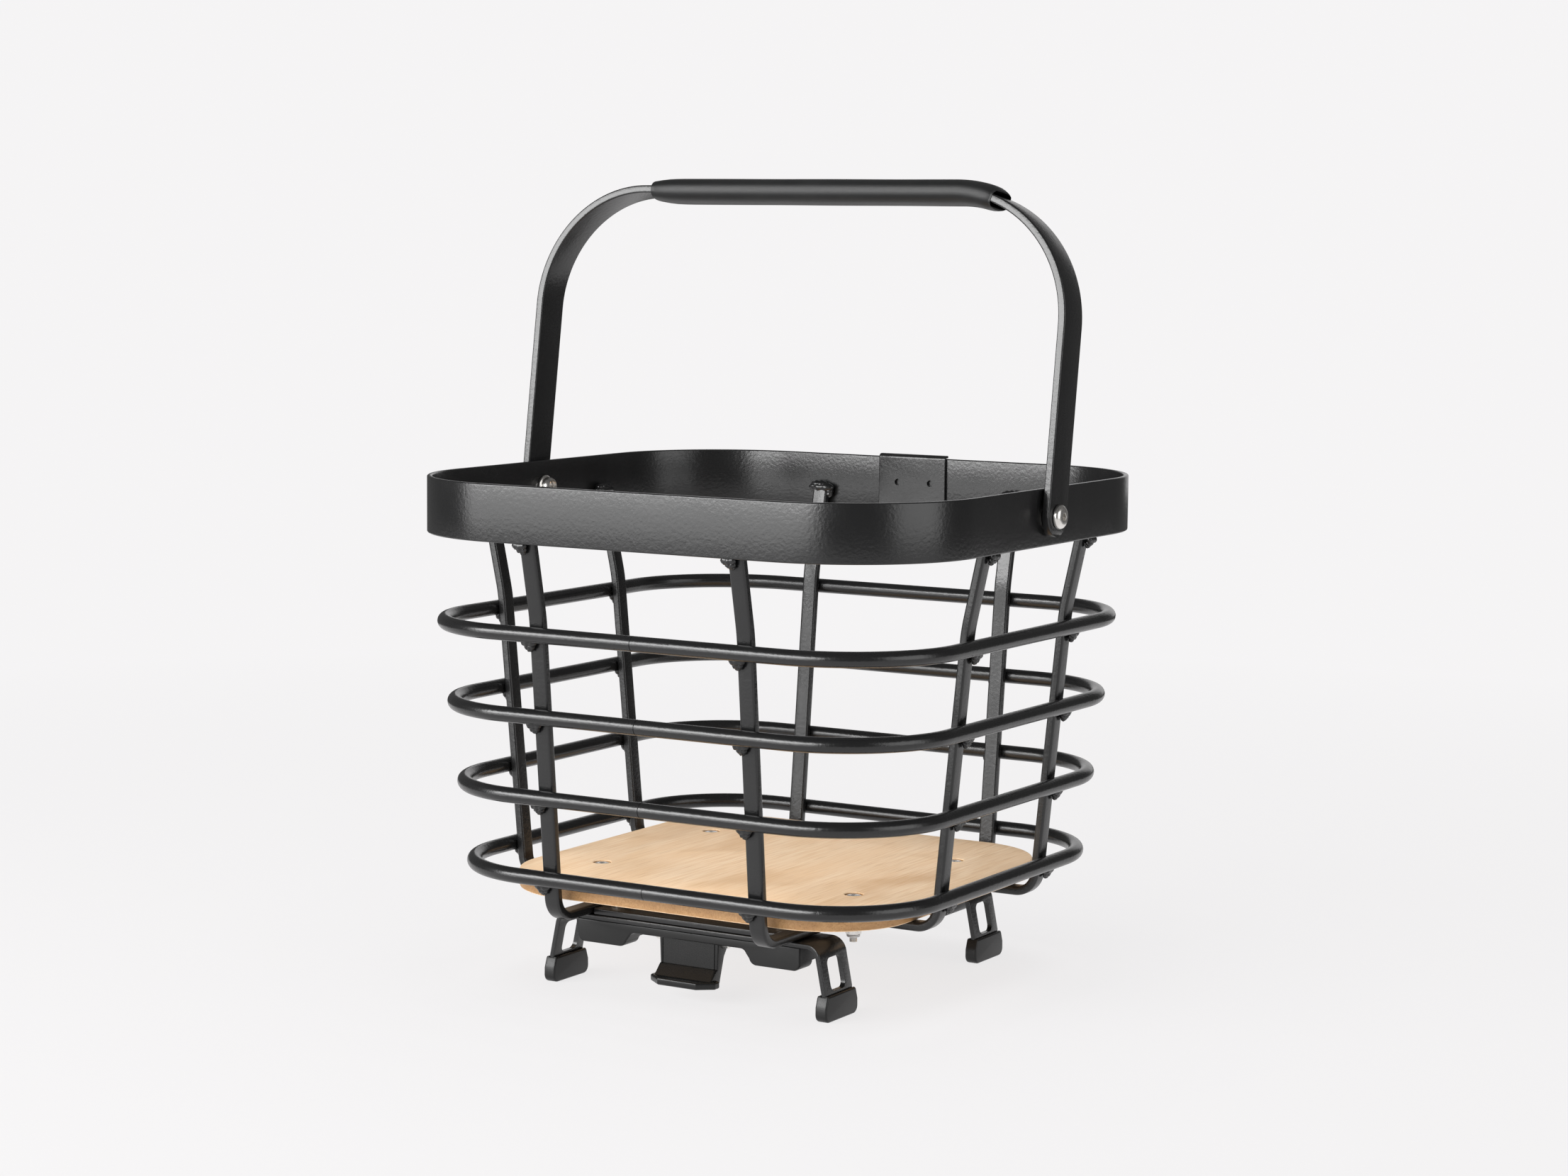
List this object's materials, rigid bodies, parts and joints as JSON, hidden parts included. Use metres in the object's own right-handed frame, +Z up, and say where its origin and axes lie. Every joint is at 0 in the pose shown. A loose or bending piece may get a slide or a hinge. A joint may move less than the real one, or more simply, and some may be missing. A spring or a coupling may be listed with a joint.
{
  "type": "bicycle basket",
  "caption": "Wire and flat-bar steel bicycle basket with a bamboo floor, swinging carry handle and sprung rack latch.",
  "frame": {"origin": "floor level under the middle of the bounding box, where the four foot caps stand", "axes": "+X to the right seen from the latch side, +Y from the latch side to the clip side, +Z up"},
  "size_m": [0.3708, 0.34, 0.4712],
  "materials": {
    "coated_steel": "satin",
    "bamboo": "satin",
    "bright_steel": "polished",
    "rubber": "matte",
    "moulded_plastic": "matte",
    "grip_foam": "matte"
  },
  "bodies": {
    "frame": {"adapter_screw_front_left": "bright_steel", "adapter_screw_front_right": "bright_steel", "adapter_screw_rear_left": "bright_steel", "adapter_screw_rear_right": "bright_steel", "board_nut_1": "bright_steel", "board_nut_2": "bright_steel", "board_nut_3": "bright_steel", "board_nut_4": "bright_steel", "board_screw_1": "bright_steel", "board_screw_2": "bright_steel", "board_screw_3": "bright_steel", "board_screw_4": "bright_steel", "board_washer_1": "bright_steel", "board_washer_2": "bright_steel", "board_washer_3": "bright_steel", "board_washer_4": "bright_steel", "cross_bar_front": "coated_steel", "cross_bar_rear": "coated_steel", "floor_board": "bamboo", "foot_cap_front_left": "rubber", "foot_cap_front_right": "rubber", "foot_cap_rear_left": "rubber", "foot_cap_rear_right": "rubber", "front_bracket": "coated_steel", "front_spacer": "coated_steel", "hoop_1": "coated_steel", "hoop_2": "coated_steel", "hoop_3": "coated_steel", "hoop_4": "coated_steel", "latch_pin": "bright_steel", "latch_spring": "bright_steel", "pivot_nut_left": "bright_steel", "pivot_nut_right": "bright_steel", "pivot_screw_left": "bright_steel", "pivot_screw_right": "bright_steel", "pivot_washer_left": "bright_steel", "pivot_washer_right": "bright_steel", "rack_adapter": "moulded_plastic", "rear_bracket": "coated_steel", "rear_clip": "coated_steel", "rear_hook": "moulded_plastic", "rear_spacer": "coated_steel", "rim_band": "coated_steel", "side_bar_left": "coated_steel", "side_bar_right": "coated_steel"},
    "handle": {"handle_bow": "coated_steel", "handle_grip": "grip_foam"},
    "latch": {"latch_lever": "moulded_plastic"}
  },
  "joints": [
    {"name": "handle_swing", "type": "hinge", "parent": "frame", "child": "handle", "pos_m": [0, 0, 0.2818], "axis": [1, 0, 0], "range_deg": [-96.5, 113]},
    {"name": "latch_release", "type": "hinge", "parent": "frame", "child": "latch", "pos_m": [0, -0.0948, 0.0342], "axis": [-1, 0, 0], "range_deg": [0, 18], "stiffness_Nm_per_rad": 0.6, "springref_deg": -11.46}
  ]
}
